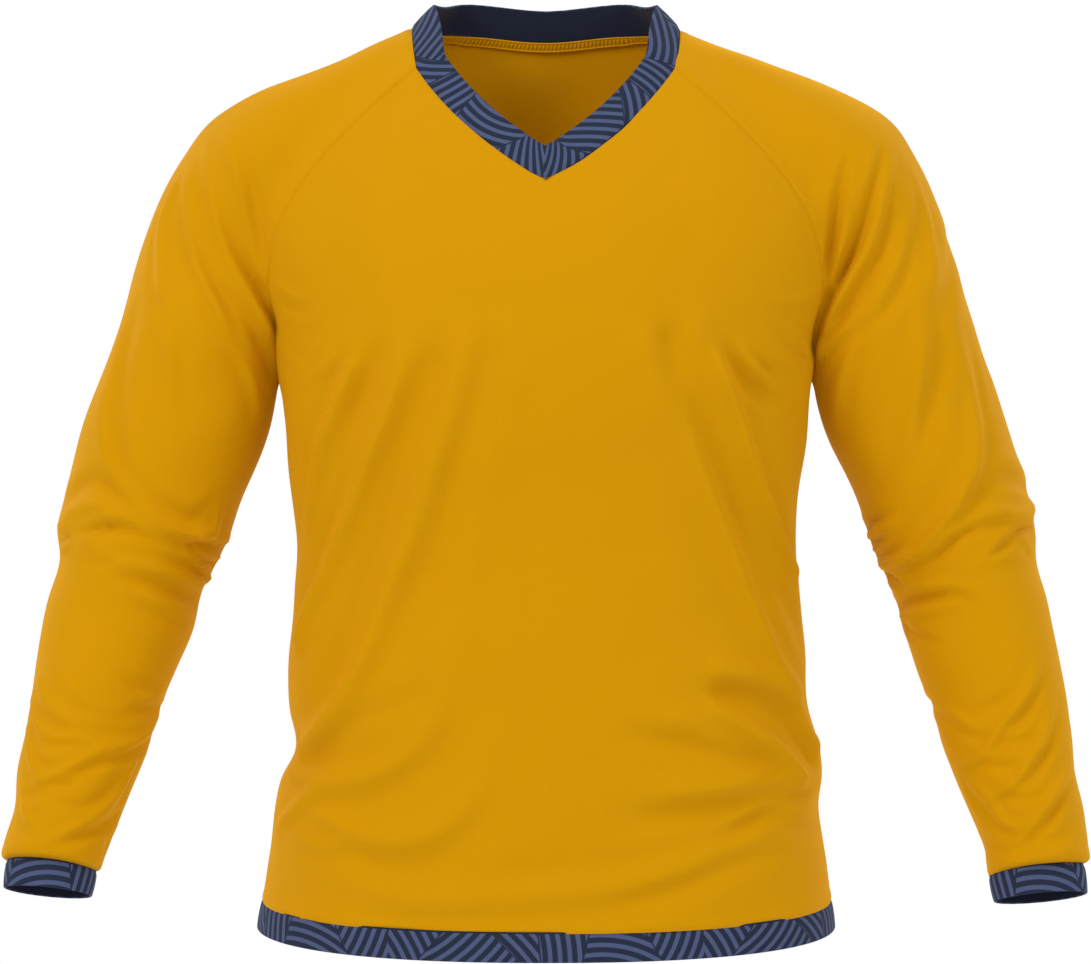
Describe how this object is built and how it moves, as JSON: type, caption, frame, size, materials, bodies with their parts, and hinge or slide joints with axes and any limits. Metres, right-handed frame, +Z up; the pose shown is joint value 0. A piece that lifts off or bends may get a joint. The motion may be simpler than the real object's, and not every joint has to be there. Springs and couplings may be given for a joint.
{
  "type": "long-sleeved raglan shirt",
  "caption": "Long-sleeved raglan shirt with a V neck, ribbed neckband, cuffs and hem band, filled out hollow as if worn.",
  "frame": {"origin": "midway between the two high shoulder points, where the neckband's seam crosses the top of the shoulders and the shirt hangs on its wearer", "axes": "+Z up, the chest faces -Y, +X is the wearer's left"},
  "size_m": [0.8255, 0.2465, 0.7343],
  "materials": {
    "mustard_jersey": "smooth fine jersey, a soft sheen",
    "navy_rib": "matt fine rib with slate-blue stripes"
  },
  "bodies": {
    "root": {"front_panel": "mustard_jersey", "back_panel": "mustard_jersey", "sleeve_right": "mustard_jersey", "sleeve_left": "mustard_jersey", "neck_tape": "mustard_jersey", "cuff_right": "navy_rib", "cuff_left": "navy_rib", "hem_band_front": "navy_rib", "hem_band_back": "navy_rib", "neckband_front": "navy_rib", "neckband_back": "navy_rib"}
  },
  "joints": []
}
